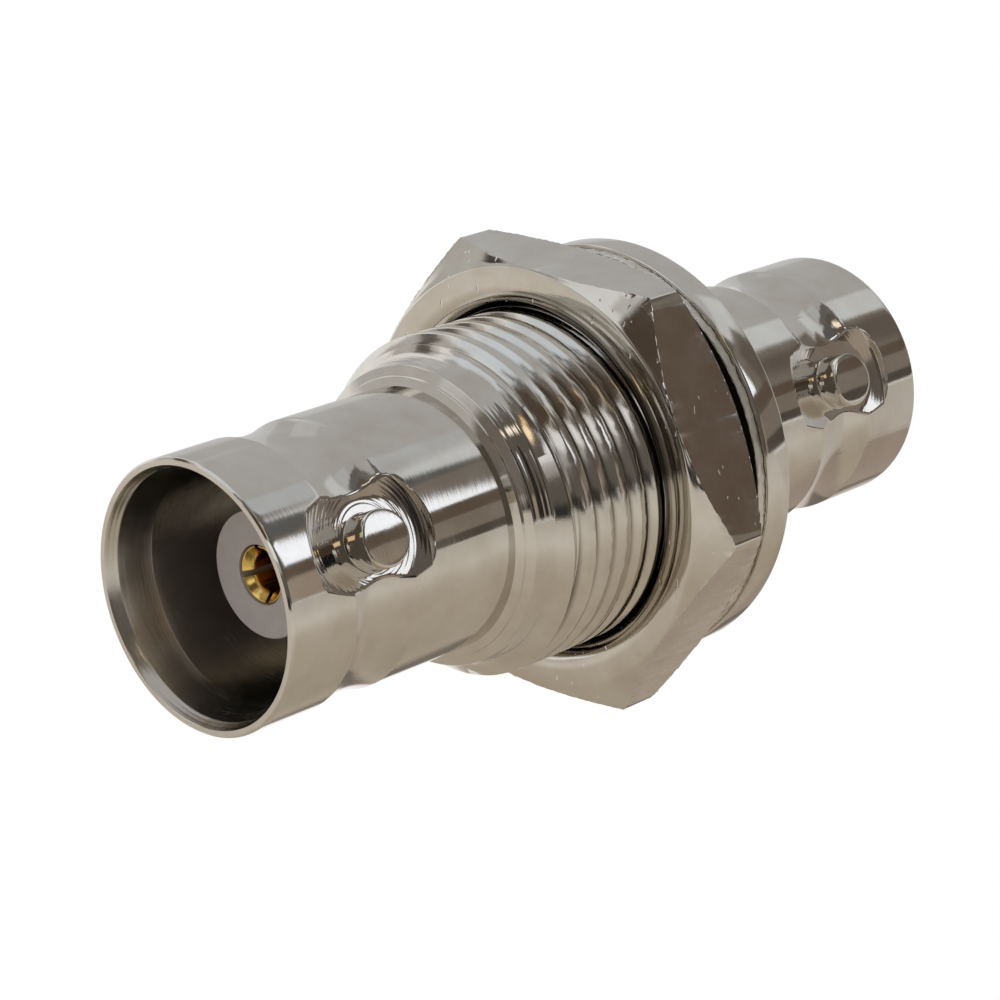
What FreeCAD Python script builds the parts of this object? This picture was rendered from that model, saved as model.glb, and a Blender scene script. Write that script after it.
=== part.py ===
import FreeCAD, Part
import os
import re
import Sketcher

# A bulkhead feed-through adapter with a bayonet jack at each end, built in millimetres.
# The common axis is X. The front jack and the thread lie toward -X, the rear jack toward +X,
# and the origin is the centre of the flange face that clamps the panel.

os.makedirs("parts", exist_ok=True)
doc = FreeCAD.newDocument("bulkhead_adapter")

# Driving dimensions
DIMENSIONS = [
    ("jack_diameter", 9.65, "outside of the bayonet jack barrel"),
    ("jack_edge", 0.08, "outer edge break at the jack rim"),
    ("rim_bore_diameter", 8.92, "inner edge of the flat rim face"),
    ("mouth_bore_diameter", 8.72, "end of the short mouth taper"),
    ("mouth_taper_length", 0.58, "length of the short mouth taper"),
    ("lead_in_depth", 1.68, "depth where the lead-in cone meets the jack bore"),
    ("jack_bore_diameter", 8.13, "bore that takes the plug ferrule"),
    ("jack_bore_depth", 8.6, "depth of the jack bore from the rim"),
    ("lug_setback", 4.2, "lug axis behind the front jack's rim"),
    ("rear_lug_setback", 4.4, "lug axis behind the rear jack's rim"),
    ("lug_diameter", 2.0, "bayonet lug pin"),
    ("lug_span", 10.74, "size across the two lug ends"),
    ("lug_groove_diameter", 9.25, "floor of the shallow groove at the lugs"),
    ("lug_groove_half_width", 1.4, "half of the groove width at the barrel surface"),
    ("lug_groove_slope", 1.0, "length of each sloped groove wall"),
    ("mill_diameter", 5.15, "outside of the hollow mill that leaves the front lugs"),
    ("rear_mill_diameter", 5.5, "outside of the mill that leaves the rear lugs"),
    ("mill_flat_wall", 0.285, "jack bore to the milled flat"),
    ("lug_count", 2, "lugs round each jack"),
    ("jack_clocking_angle", -23.0, "front lug axis turned from the horizontal"),
    ("rear_jack_clocking_angle", -21.2, "rear lug axis turned from the horizontal"),
    ("front_length", 20.4, "front rim to the panel face of the flange"),
    ("barrel_length", 10.4, "front rim to the start of the threaded part"),
    ("shoulder_diameter", 11.04, "large end of the shoulder cone"),
    ("shoulder_length", 0.47, "length of the shoulder cone"),
    ("pilot_diameter", 11.3, "pilot end next to the thread"),
    ("pilot_length", 0.74, "length of the pilot"),
    ("thread_diameter", 12.6, "thread crest, 28 turns to the inch"),
    ("thread_chamfer", 0.6, "length of the chamfer on the first thread"),
    ("flange_inset", 0.1, "flange edge inside the circle that touches the nut flats"),
    ("flange_thickness", 1.25, "clamping flange"),
    ("flange_edge", 0.08, "edge break of the flange"),
    ("rear_length", 13.04, "panel face of the flange to the rear rim"),
    ("web_thickness", 1.0, "inner web at the bottom of each jack bore"),
    ("stub_diameter", 8.6, "stub of the rear jack in the body recess"),
    ("stub_depth", 4.0, "body recess depth in front of the panel face"),
    ("stub_clearance", 0.02, "radial room round the rear jack stub"),
    ("insulator_diameter", 6.6, "large part of each insulator"),
    ("insulator_nose_diameter", 4.5, "insulator nose that stands free in the jack"),
    ("insulator_nose_edge", 0.05, "edge break of the nose"),
    ("insulator_setback", 3.0, "insulator face behind the jack rim"),
    ("insulator_clearance", 0.02, "radial room round each insulator"),
    ("insulator_split_place", -2.2, "place where the two insulators meet"),
    ("contact_diameter", 2.12, "double-ended socket contact"),
    ("contact_setback", 3.05, "contact end behind the jack rim"),
    ("contact_clearance", 0.01, "radial room round the contact"),
    ("contact_rim_diameter", 1.96, "outer edge of the contact's entry cone"),
    ("socket_diameter", 1.35, "bore for the mating pin"),
    ("socket_depth", 5.6, "depth of each socket bore"),
    ("socket_entry", 0.3, "length of the entry cone"),
    ("collar_diameter", 3.2, "collar that the insulators trap"),
    ("collar_length", 1.2, "collar length"),
    ("collar_clearance", 0.05, "room round the collar"),
    ("contact_slot_width", 0.2, "slots between the socket fingers"),
    ("contact_slot_length", 4.4, "length of the slots"),
    ("contact_clocking_angle", -14.0, "slots turned from the vertical"),
    ("nut_wall", 1.7, "thread crest to a nut flat"),
    ("nut_thickness", 3.25, "panel nut"),
    ("nut_face_inset", 0.05, "edge of the flat nut face inside that circle"),
    ("nut_chamfer_length", 0.95, "length of the corner chamfer"),
    ("nut_thread_clearance", 0.06, "radial room between the nut and the thread crest"),
    ("nut_countersink_width", 0.45, "thread crest to the countersink's edge"),
    ("nut_countersink_depth", 0.45, "countersink in both nut faces"),
    ("nut_clocking_angle", -26.9, "first nut corner from the vertical"),
    ("nut_blank_ratio", 1.4, "outside of the cut that leaves the hexagon, over the size across flats"),
    ("washer_inset", 0.2, "lock washer edge inside that circle"),
    ("washer_rim_width", 0.75, "width of the washer's closed rim"),
    ("washer_thickness", 0.37, "lock washer sheet"),
    ("washer_standoff", 0.03, "rim of the washer to the flange"),
    ("washer_room", 1.05, "space between the flange and the nut"),
    ("tooth_tip_clearance", 0.15, "thread crest to the tooth tips"),
    ("tooth_width", 1.3, "width of a tooth"),
    ("tooth_twist_angle", 22.5, "twist of a tooth about its own length"),
    ("tooth_count", 12, "teeth round the washer"),
]
sheet = doc.addObject("Spreadsheet::Sheet", "Dimensions")
for row, (name, value, meaning) in enumerate(DIMENSIONS, start=1):
    sheet.set(f"A{row}", name)
    sheet.set(f"B{row}", str(value))
    sheet.set(f"C{row}", meaning)
    sheet.setAlias(f"B{row}", name)
doc.recompute()

NAMES = {name for name, value, meaning in DIMENSIONS}
FULL_TURN = 360.0
HEXAGON_SIDES = 6
ROUGH_RADIUS = 10.0  # size of a new outline or circle before its expressions set it


def bound(text):
    """Returns an expression in which every dimension name points at the spreadsheet."""
    return re.sub(r"[a-z_]{3,}", lambda word: "Dimensions." * (word[0] in NAMES) + word[0], text)


# Places along the axis, worked out from the driving dimensions
FRONT_RIM = "( - front_length )"
REAR_RIM = "rear_length"
FRONT_FLOOR = "( - front_length + jack_bore_depth )"
REAR_FLOOR = "( rear_length - jack_bore_depth )"
THREAD_FOOT = "( - front_length + barrel_length )"
STUB_END = "( - stub_depth )"
SPLIT = "insulator_split_place"

# Radius of the circle that touches the nut flats; the flange and the washer are set back from it
FLAT_CIRCLE = "( thread_diameter / 2 + nut_wall )"


def new_body(name, clocking):
    """Starts a piece whose own Y axis is turned about X by a clocking angle."""
    body = doc.addObject("PartDesign::Body", name)
    body.Label = name
    body.Placement.Rotation = FreeCAD.Rotation(FreeCAD.Vector(1, 0, 0), 0)
    body.setExpression("Placement.Rotation.Angle", bound(f"{clocking} * 1deg"))
    return body


def origin_feature(body, role):
    """Finds a plane or an axis of the piece's own origin."""
    return next(feature for feature in body.Origin.OriginFeatures if feature.Role == role)


def new_sketch(body, name, plane):
    sketch = body.newObject("Sketcher::SketchObject", f"{body.Name}_{name}")
    sketch.AttachmentSupport = [(origin_feature(body, plane), "")]
    sketch.MapMode = "FlatFace"
    return sketch


def pin_point(sketch, edge, end, across, up):
    """Ties one end of an edge to two expressions, measured from the sketch origin."""
    for kind, text in (("DistanceX", across), ("DistanceY", up)):
        index = sketch.addConstraint(Sketcher.Constraint(kind, -1, 1, edge, end, ROUGH_RADIUS))
        sketch.setExpression(f"Constraints[{index}]", bound(text))


def draw_outline(sketch, corners):
    """Draws a closed outline whose corners are pairs of expressions."""
    count = len(corners)
    ring = []
    for step in range(count):
        turn = FreeCAD.Rotation(FreeCAD.Vector(0, 0, 1), FULL_TURN * step / count)
        ring.append(turn.multVec(FreeCAD.Vector(0, ROUGH_RADIUS, 0)))
    first = sketch.GeometryCount
    for step in range(count):
        sketch.addGeometry(Part.LineSegment(ring[step], ring[(step + 1) % count]), False)
    for step in range(count):
        following = first + (step + 1) % count
        sketch.addConstraint(Sketcher.Constraint("Coincident", first + step, 2, following, 1))
    for step, (across, up) in enumerate(corners):
        pin_point(sketch, first + step, 1, across, up)


def draw_circle(sketch, across, diameter):
    """Draws a circle on the sketch's horizontal axis."""
    circle = Part.Circle(FreeCAD.Vector(ROUGH_RADIUS, 0, 0), FreeCAD.Vector(0, 0, 1), ROUGH_RADIUS)
    edge = sketch.addGeometry(circle, False)
    place = sketch.addConstraint(Sketcher.Constraint("DistanceX", -1, 1, edge, 3, ROUGH_RADIUS))
    sketch.setExpression(f"Constraints[{place}]", bound(across))
    sketch.addConstraint(Sketcher.Constraint("PointOnObject", edge, 3, -1))
    size = sketch.addConstraint(Sketcher.Constraint("Diameter", edge, 2 * ROUGH_RADIUS))
    sketch.setExpression(f"Constraints[{size}]", bound(diameter))


def turn_outline(body, name, corners, kind):
    """Revolves an outline of (place along X, radius) pairs about the axis."""
    sketch = new_sketch(body, name, "XY_Plane")
    draw_outline(sketch, corners)
    feature = body.newObject(kind, f"{body.Name}_{name}_turned")
    feature.Profile = sketch
    feature.ReferenceAxis = (sketch, ["H_Axis"])
    feature.Angle = FULL_TURN
    sketch.Visibility = False


def add_material(body, name, corners):
    turn_outline(body, name, corners, "PartDesign::Revolution")


def cut_material(body, name, corners):
    turn_outline(body, name, corners, "PartDesign::Groove")


def around(body, name, feature, count):
    """Repeats a feature about the X axis."""
    pattern = body.newObject("PartDesign::PolarPattern", f"{body.Name}_{name}_ring")
    pattern.Originals = [feature]
    pattern.Axis = (origin_feature(body, "X_Axis"), [""])
    pattern.Angle = FULL_TURN
    pattern.setExpression("Occurrences", bound(count))
    body.Tip = pattern


def lug_groove(lug_place):
    """The four outline corners of the shallow groove at the lugs, from -X to +X."""
    edge = "jack_diameter / 2"
    floor = "lug_groove_diameter / 2"
    return [
        (f"{lug_place} - lug_groove_half_width", edge),
        (f"{lug_place} - lug_groove_half_width + lug_groove_slope", floor),
        (f"{lug_place} + lug_groove_half_width - lug_groove_slope", floor),
        (f"{lug_place} + lug_groove_half_width", edge),
    ]


def add_lugs(body, lug_place, mill):
    """Leaves two lug pins with round tips, each in its hollow-milled flat."""
    pin_sketch = new_sketch(body, "lug_pin", "XZ_Plane")
    draw_circle(pin_sketch, lug_place, "lug_diameter")
    pins = body.newObject("PartDesign::Pad", f"{body.Name}_lug_pins")
    pins.Profile = pin_sketch
    pins.setExpression("Length", bound("lug_span + lug_diameter"))
    pins.Midplane = True
    cut_material(body, "lug_tips", [
        (f"{lug_place} - lug_diameter", "lug_span / 2"),
        (f"{lug_place} + lug_diameter", "lug_span / 2"),
        (f"{lug_place} + lug_diameter", "lug_span / 2 + lug_diameter"),
        (f"{lug_place} - lug_diameter", "lug_span / 2 + lug_diameter"),
    ])
    mill_sketch = new_sketch(body, "lug_mill", "XZ_Plane")
    mill_sketch.setExpression("AttachmentOffset.Base.z", bound("jack_bore_diameter / 2 + mill_flat_wall"))
    draw_circle(mill_sketch, lug_place, mill)
    draw_circle(mill_sketch, lug_place, "lug_diameter")
    milled = body.newObject("PartDesign::Pocket", f"{body.Name}_lug_milled")
    milled.Profile = mill_sketch
    milled.setExpression("Length", bound("lug_span"))
    milled.Reversed = True
    around(body, "lug_milled", milled, "lug_count")


def bore_jack(body, rim, inward, floor):
    """Cuts the mouth tapers and the jack bore; inward is + or - along X."""
    cut_material(body, f"{'front' if inward == '+' else 'rear'}_mouth", [
        (rim, "0"),
        (rim, "rim_bore_diameter / 2"),
        (f"{rim} {inward} mouth_taper_length", "mouth_bore_diameter / 2"),
        (f"{rim} {inward} lead_in_depth", "jack_bore_diameter / 2"),
        (floor, "jack_bore_diameter / 2"),
        (floor, "0"),
    ])


def bulkhead_body():
    """Front jack, threaded barrel and flange, turned from one bar."""
    body = new_body("bulkhead_body", "jack_clocking_angle")
    lug_place = f"{FRONT_RIM} + lug_setback"
    groove = lug_groove(lug_place)
    pilot_start = f"{THREAD_FOOT} + shoulder_length"
    pilot_end = f"{pilot_start} + pilot_length"
    add_material(body, "outside", [
        (FRONT_RIM, "0"),
        (FRONT_RIM, "jack_diameter / 2 - jack_edge"),
        (f"{FRONT_RIM} + jack_edge", "jack_diameter / 2"),
        *groove,
        (THREAD_FOOT, "jack_diameter / 2"),
        (pilot_start, "shoulder_diameter / 2"),
        (pilot_end, "pilot_diameter / 2"),
        (f"{pilot_end} + thread_chamfer", "thread_diameter / 2"),
        ("0", "thread_diameter / 2"),
        ("0", f"{FLAT_CIRCLE} - flange_inset - flange_edge"),
        ("flange_edge", f"{FLAT_CIRCLE} - flange_inset"),
        ("flange_thickness - flange_edge", f"{FLAT_CIRCLE} - flange_inset"),
        ("flange_thickness", f"{FLAT_CIRCLE} - flange_inset - flange_edge"),
        ("flange_thickness", "0"),
    ])
    add_lugs(body, lug_place, "mill_diameter")
    bore_jack(body, FRONT_RIM, "+", FRONT_FLOOR)
    hole = "insulator_diameter / 2 + insulator_clearance"
    recess = "stub_diameter / 2 + stub_clearance"
    cut_material(body, "inside", [
        (FRONT_FLOOR, "0"),
        (FRONT_FLOOR, "insulator_nose_diameter / 2 + insulator_clearance"),
        (f"{FRONT_FLOOR} + web_thickness", "insulator_nose_diameter / 2 + insulator_clearance"),
        (f"{FRONT_FLOOR} + web_thickness", hole),
        (STUB_END, hole),
        (STUB_END, recess),
        ("flange_thickness", recess),
        ("flange_thickness", "0"),
    ])
    return body


def rear_jack():
    """Second jack, a turned sleeve whose stub is pressed into the flange side of the body."""
    body = new_body("rear_jack", "rear_jack_clocking_angle")
    lug_place = f"{REAR_RIM} - rear_lug_setback"
    groove = lug_groove(lug_place)
    add_material(body, "outside", [
        (STUB_END, "0"),
        (STUB_END, "stub_diameter / 2"),
        ("flange_thickness", "stub_diameter / 2"),
        ("flange_thickness", "jack_diameter / 2"),
        *groove,
        (f"{REAR_RIM} - jack_edge", "jack_diameter / 2"),
        (REAR_RIM, "jack_diameter / 2 - jack_edge"),
        (REAR_RIM, "0"),
    ])
    add_lugs(body, lug_place, "rear_mill_diameter")
    bore_jack(body, REAR_RIM, "-", REAR_FLOOR)
    hole = "insulator_diameter / 2 + insulator_clearance"
    cut_material(body, "inside", [
        (STUB_END, "0"),
        (STUB_END, hole),
        (f"{REAR_FLOOR} - web_thickness", hole),
        (f"{REAR_FLOOR} - web_thickness", "insulator_nose_diameter / 2 + insulator_clearance"),
        (REAR_FLOOR, "insulator_nose_diameter / 2 + insulator_clearance"),
        (REAR_FLOOR, "0"),
    ])
    return body


def insulator(name, rim, inward, floor, outward):
    """Stepped insulator: a free nose in the jack, a large part behind the web, half the collar pocket."""
    body = new_body(name, "contact_clocking_angle")
    face = f"{rim} {inward} insulator_setback"
    step = f"{floor} {inward} web_thickness"
    pocket = f"{SPLIT} {outward} ( collar_length / 2 + collar_clearance )"
    bore = "contact_diameter / 2 + contact_clearance"
    add_material(body, "profile", [
        (face, bore),
        (face, "insulator_nose_diameter / 2 - insulator_nose_edge"),
        (f"{face} {inward} insulator_nose_edge", "insulator_nose_diameter / 2"),
        (step, "insulator_nose_diameter / 2"),
        (step, "insulator_diameter / 2"),
        (SPLIT, "insulator_diameter / 2"),
        (SPLIT, "collar_diameter / 2 + collar_clearance"),
        (pocket, "collar_diameter / 2 + collar_clearance"),
        (pocket, bore),
    ])
    return body


def cut_slots(body, name, plane, start, inward):
    """Cuts one slot straight across a socket end, which parts two pairs of fingers."""
    sketch = new_sketch(body, name, plane)
    end = f"{start} {inward} contact_slot_length"
    draw_outline(sketch, [
        (start, "- contact_slot_width / 2"),
        (end, "- contact_slot_width / 2"),
        (end, "contact_slot_width / 2"),
        (start, "contact_slot_width / 2"),
    ])
    slot = body.newObject("PartDesign::Pocket", f"{body.Name}_{name}_cut")
    slot.Profile = sketch
    slot.setExpression("Length", bound("contact_diameter * 2"))
    slot.Midplane = True


def center_contact():
    """One rod with a slotted spring socket at each end and a trapped collar in the middle."""
    body = new_body("center_contact", "contact_clocking_angle")
    front = f"{FRONT_RIM} + contact_setback"
    rear = f"{REAR_RIM} - contact_setback"
    outside = "contact_diameter / 2"
    rim = "contact_rim_diameter / 2"
    edge = "contact_diameter / 2 - contact_rim_diameter / 2"
    add_material(body, "outside", [
        (front, "0"),
        (front, rim),
        (f"{front} + {edge}", outside),
        (f"{SPLIT} - collar_length / 2", outside),
        (f"{SPLIT} - collar_length / 2", "collar_diameter / 2"),
        (f"{SPLIT} + collar_length / 2", "collar_diameter / 2"),
        (f"{SPLIT} + collar_length / 2", outside),
        (f"{rear} - ( {edge} )", outside),
        (rear, rim),
        (rear, "0"),
    ])
    for name, start, inward in (("front", front, "+"), ("rear", rear, "-")):
        cut_material(body, f"{name}_socket", [
            (start, "0"),
            (start, rim),
            (f"{start} {inward} socket_entry", "socket_diameter / 2"),
            (f"{start} {inward} socket_depth", "socket_diameter / 2"),
            (f"{start} {inward} socket_depth", "0"),
        ])
        cut_slots(body, f"{name}_slot_flat", "XY_Plane", start, inward)
        cut_slots(body, f"{name}_slot_upright", "XZ_Plane", start, inward)
    return body


def panel_nut():
    """Hexagon nut with a turned chamfer on both faces and a countersunk hole."""
    body = new_body("panel_nut", "nut_clocking_angle")
    back = "( - washer_room )"
    face = "( - washer_room - nut_thickness )"
    corner = f"{FLAT_CIRCLE} * 2 / sqrt(3)"
    hole = "thread_diameter / 2 + nut_thread_clearance"
    mouth = "thread_diameter / 2 + nut_countersink_width"
    add_material(body, "blank", [
        (face, mouth),
        (face, f"{FLAT_CIRCLE} - nut_face_inset"),
        (f"{face} + nut_chamfer_length", corner),
        (f"{back} - nut_chamfer_length", corner),
        (back, f"{FLAT_CIRCLE} - nut_face_inset"),
        (back, mouth),
        (f"{back} - nut_countersink_depth", hole),
        (f"{face} + nut_countersink_depth", hole),
    ])
    hexagon = new_sketch(body, "hexagon", "YZ_Plane")
    draw_circle(hexagon, "0", f"{FLAT_CIRCLE} * 2 * nut_blank_ratio")
    turns = [FULL_TURN * side / HEXAGON_SIDES for side in range(HEXAGON_SIDES)]
    draw_outline(hexagon, [
        (f"- {corner} * sin({turn} * 1deg)", f"{corner} * cos({turn} * 1deg)") for turn in turns
    ])
    flats = body.newObject("PartDesign::Pocket", f"{body.Name}_flats")
    flats.Profile = hexagon
    flats.Type = "ThroughAll"
    flats.Midplane = True
    return body


def lock_washer():
    """Thin stamped ring whose inner teeth are twisted to bite the nut and the flange."""
    body = new_body("lock_washer", "nut_clocking_angle")
    front = "( - washer_standoff - washer_thickness )"
    outside = f"{FLAT_CIRCLE} - washer_inset"
    inside = f"{FLAT_CIRCLE} - washer_inset - washer_rim_width"
    tips = "thread_diameter / 2 + tooth_tip_clearance"
    add_material(body, "rim", [
        (front, inside),
        (front, outside),
        ("- washer_standoff", outside),
        ("- washer_standoff", inside),
    ])
    blade = new_sketch(body, "tooth", "XY_Plane")
    blade.setExpression("AttachmentOffset.Base.x", bound("- washer_room / 2"))
    blade.setExpression("AttachmentOffset.Base.z", bound(tips))
    blade.setExpression("AttachmentOffset.Rotation.Angle", bound("tooth_twist_angle * 1deg"))
    draw_outline(blade, [
        ("- washer_thickness / 2", "- tooth_width / 2"),
        ("washer_thickness / 2", "- tooth_width / 2"),
        ("washer_thickness / 2", "tooth_width / 2"),
        ("- washer_thickness / 2", "tooth_width / 2"),
    ])
    tooth = body.newObject("PartDesign::Pad", f"{body.Name}_tooth_pad")
    tooth.Profile = blade
    tooth.setExpression("Length", bound(f"{inside} - ( {tips} ) + washer_thickness"))
    around(body, "teeth", tooth, "tooth_count")
    return body


pieces = [
    bulkhead_body(),
    rear_jack(),
    insulator("front_insulator", FRONT_RIM, "+", FRONT_FLOOR, "-"),
    insulator("rear_insulator", REAR_RIM, "-", REAR_FLOOR, "+"),
    center_contact(),
    panel_nut(),
    lock_washer(),
]
doc.recompute()

for feature in doc.Objects:
    if "Invalid" in feature.State or "Error" in feature.State:
        raise RuntimeError(f"{feature.Name} did not build")
for piece in pieces:
    if piece.Shape.isNull() or not piece.Shape.isValid():
        raise RuntimeError(f"{piece.Label} has no valid solid")
for piece in pieces:
    piece.Shape.exportStep(f"parts/{piece.Label}.step")
    print(piece.Label, len(piece.Shape.Solids), "solid", round(piece.Shape.Volume, 2), "mm3")
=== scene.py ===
# %% [markdown]
# A bulkhead adapter with a bayonet jack at each end, turned from brass and nickel plated.
# The CAD model gives every place and every moving body. This lesson gives each piece its real
# surface: the thread, the milled lugs, the slotted contact, the tool marks and the plating.

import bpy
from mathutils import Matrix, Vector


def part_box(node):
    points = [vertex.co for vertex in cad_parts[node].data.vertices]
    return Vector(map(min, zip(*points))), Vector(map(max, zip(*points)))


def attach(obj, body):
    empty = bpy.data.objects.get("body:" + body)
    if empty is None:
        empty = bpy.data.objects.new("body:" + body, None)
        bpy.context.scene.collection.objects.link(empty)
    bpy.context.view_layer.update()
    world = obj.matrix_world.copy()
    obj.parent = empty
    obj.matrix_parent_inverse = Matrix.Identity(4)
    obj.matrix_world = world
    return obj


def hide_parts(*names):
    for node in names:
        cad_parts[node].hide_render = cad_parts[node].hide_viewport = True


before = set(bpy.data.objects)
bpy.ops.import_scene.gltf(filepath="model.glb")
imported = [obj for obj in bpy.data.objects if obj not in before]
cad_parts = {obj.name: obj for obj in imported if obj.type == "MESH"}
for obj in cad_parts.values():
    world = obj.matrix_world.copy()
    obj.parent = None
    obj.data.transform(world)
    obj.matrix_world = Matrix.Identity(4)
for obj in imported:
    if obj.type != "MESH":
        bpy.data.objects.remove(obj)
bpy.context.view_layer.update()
print("CAD nodes:", sorted(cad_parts))

# %% [markdown]
# All shapes below are worked out in millimetres, as on a workshop drawing, and turned into metres
# once, when a mesh is made. numpy handles long lists of points, bmesh cleans and joins them.

# %% Tools and units
import math

import bmesh
import bpy
import numpy as np
from mathutils import Vector

MM = 0.001
COLUMNS = 320  # columns of a turned surface: at 6.3 mm radius each is 0.12 mm wide
random_source = np.random.default_rng(7)


# %% [markdown]
# A mesh is built here from sheets of points in rows and columns. Each sheet becomes four-sided
# faces, the sheets are welded where their edges meet, and the Weighted Normal modifier keeps broad
# faces flat in shading while narrow edge rows look rounded.

# %% Turn sheets of points into a piece
WELD_DISTANCE = 3e-8  # metres
SHORTEST_EDGE = 1e-8
CREASE_DEGREES = 40


def add_object(name, data):
    made = bpy.data.objects.new(name, data)
    bpy.context.scene.collection.objects.link(made)
    return made


def build_piece(name, finishes, body, node_name):
    """finishes are pairs (material, sheets); a sheet has rows x columns x 3 numbers, in millimetres."""
    mesh = bpy.data.meshes.new(name)
    work = bmesh.new()
    for index, (material, sheets) in enumerate(finishes):
        mesh.materials.append(material)
        for sheet in sheets:
            rows, columns = sheet.shape[:2]
            made = [[work.verts.new(point * MM) for point in row] for row in sheet]
            for row in range(rows - 1):
                for column in range(columns - 1):
                    face = work.faces.new((
                        made[row][column], made[row][column + 1],
                        made[row + 1][column + 1], made[row + 1][column],
                    ))
                    face.material_index = index
    bmesh.ops.remove_doubles(work, verts=work.verts, dist=WELD_DISTANCE)
    bmesh.ops.dissolve_degenerate(work, edges=work.edges, dist=SHORTEST_EDGE)
    bmesh.ops.recalc_face_normals(work, faces=work.faces)
    work.to_mesh(mesh)
    open_edges = sum(1 for edge in work.edges if len(edge.link_faces) != 2)
    work.free()
    mesh.shade_smooth()
    mesh.set_sharp_from_angle(angle=math.radians(CREASE_DEGREES))
    piece = add_object(name, mesh)
    normals = piece.modifiers.new("broad_faces_flat", "WEIGHTED_NORMAL")
    normals.keep_sharp = True
    normals.weight = 80
    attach(piece, body)
    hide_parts(node_name)
    print(f"{name}: {len(mesh.polygons)} faces, {open_edges} open edges")
    return piece


def rounded(corners, steps=4):
    """Rounds the corners (along, radius, rounding) of an outline and returns its points."""
    points = []
    last = len(corners) - 1
    for index, (along, radius, rounding) in enumerate(corners):
        here = np.array([along, radius], float)
        if rounding <= 0 or index in (0, last):
            points.append(here)
            continue
        before = np.array(corners[index - 1][:2], float) - here
        after = np.array(corners[index + 1][:2], float) - here
        reach = min(rounding, 0.45 * np.linalg.norm(before), 0.45 * np.linalg.norm(after))
        start = here + before / np.linalg.norm(before) * reach
        end = here + after / np.linalg.norm(after) * reach
        for share in np.linspace(0, 1, steps + 1):
            points.append((1 - share) ** 2 * start + 2 * share * (1 - share) * here + share ** 2 * end)
    return np.array(points)


def around(along, radius, angle):
    """A sheet of points at these places along X, radii and angles round it."""
    return np.stack(np.broadcast_arrays(along, radius * np.cos(angle), radius * np.sin(angle)), 2)


def turned(outline, first_degree=0.0, columns=COLUMNS):
    """Turns an outline of (along X, radius) points once round the X axis into a sheet."""
    angle = np.radians(np.linspace(first_degree, first_degree + 360.0, columns + 1))
    angle[-1] = angle[0]
    return around(outline[:, :1], outline[:, 1:], angle)


# %% [markdown]
# Colours are written as hex values, as in a paint program, and Blender wants them linear.
# One helper adds any shader node, with its settings as keywords and its sockets as a table. A node
# that stands as a socket's value means its first output. Four short helpers build on it.

# %% Helpers for materials
def linear(code):
    channels = [int(code[place:place + 2], 16) / 255 for place in (1, 3, 5)]
    return [c / 12.92 if c <= 0.04045 else ((c + 0.055) / 1.055) ** 2.4 for c in channels] + [1.0]


def add_node(tree, kind, sockets=None, **settings):
    node = tree.nodes.new("ShaderNode" + kind)
    for name, value in settings.items():
        setattr(node, name, value)
    for name, value in (sockets or {}).items():
        if isinstance(value, bpy.types.Node):
            value = value.outputs[0]
        if isinstance(value, bpy.types.NodeSocket):
            tree.links.new(value, node.inputs[name])
        else:
            node.inputs[name].default_value = value
    return node


def new_material(name):
    material = bpy.data.materials.new(name)
    material.use_nodes = True
    material.node_tree.nodes.clear()
    return material, material.node_tree


def noise(tree, place, size, detail, roughness=0.5):
    return add_node(tree, "TexNoise", {
        "Vector": place, "Scale": 1 / size, "Detail": detail, "Roughness": roughness,
    })


def number(tree, operation, *values):
    return add_node(tree, "Math", dict(enumerate(values)), operation=operation)


def vector(tree, operation, *values):
    return add_node(tree, "VectorMath", dict(enumerate(values)), operation=operation)


def ranged(tree, value, low=0.0, high=1.0, to=(0.0, 1.0), **settings):
    """The range low to high becomes the range to, clamped at both ends."""
    return add_node(tree, "MapRange", {
        "Value": value, "From Min": low, "From Max": high, "To Min": to[0], "To Max": to[1],
    }, **settings)


# %% [markdown]
# Bright nickel on turned brass. The plating copies the lathe's feed marks: fine rings round the
# axis, 0.07 to 0.1 mm apart. Noise that depends only on the place along the axis and on the
# radius draws such rings, on a barrel as well as on a face, and a small share of the place across
# the axis lets them fade in and out. A slow second noise makes some patches duller and warmer, and
# a fine third one is the plating's grain. Metallic is 1, and the IOR stays at its default.

# %% Nickel plate over turned brass
RING_FADE = 0.012
STAIN_SIZE = 1.7 * MM
GRAIN_SIZE = 0.05 * MM


def lathe_rings(tree, parts, across, radius, ring_spacing):
    """Noise in rings round the X axis, about ring_spacing mm apart."""
    fade = vector(tree, "MULTIPLY", across, (0.0, RING_FADE, RING_FADE))
    place = add_node(tree, "CombineXYZ", {"X": parts.outputs["X"], "Y": radius.outputs["Value"]})
    return noise(tree, vector(tree, "ADD", place, fade), ring_spacing * MM, 3.0, 0.65)


def bump(tree, height, depth, below=None):
    """A bump of depth mm, laid over the bump node below."""
    sockets = {"Height": height, "Strength": 1.0, "Distance": depth * MM}
    if below:
        sockets["Normal"] = below
    return add_node(tree, "Bump", sockets)


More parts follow.
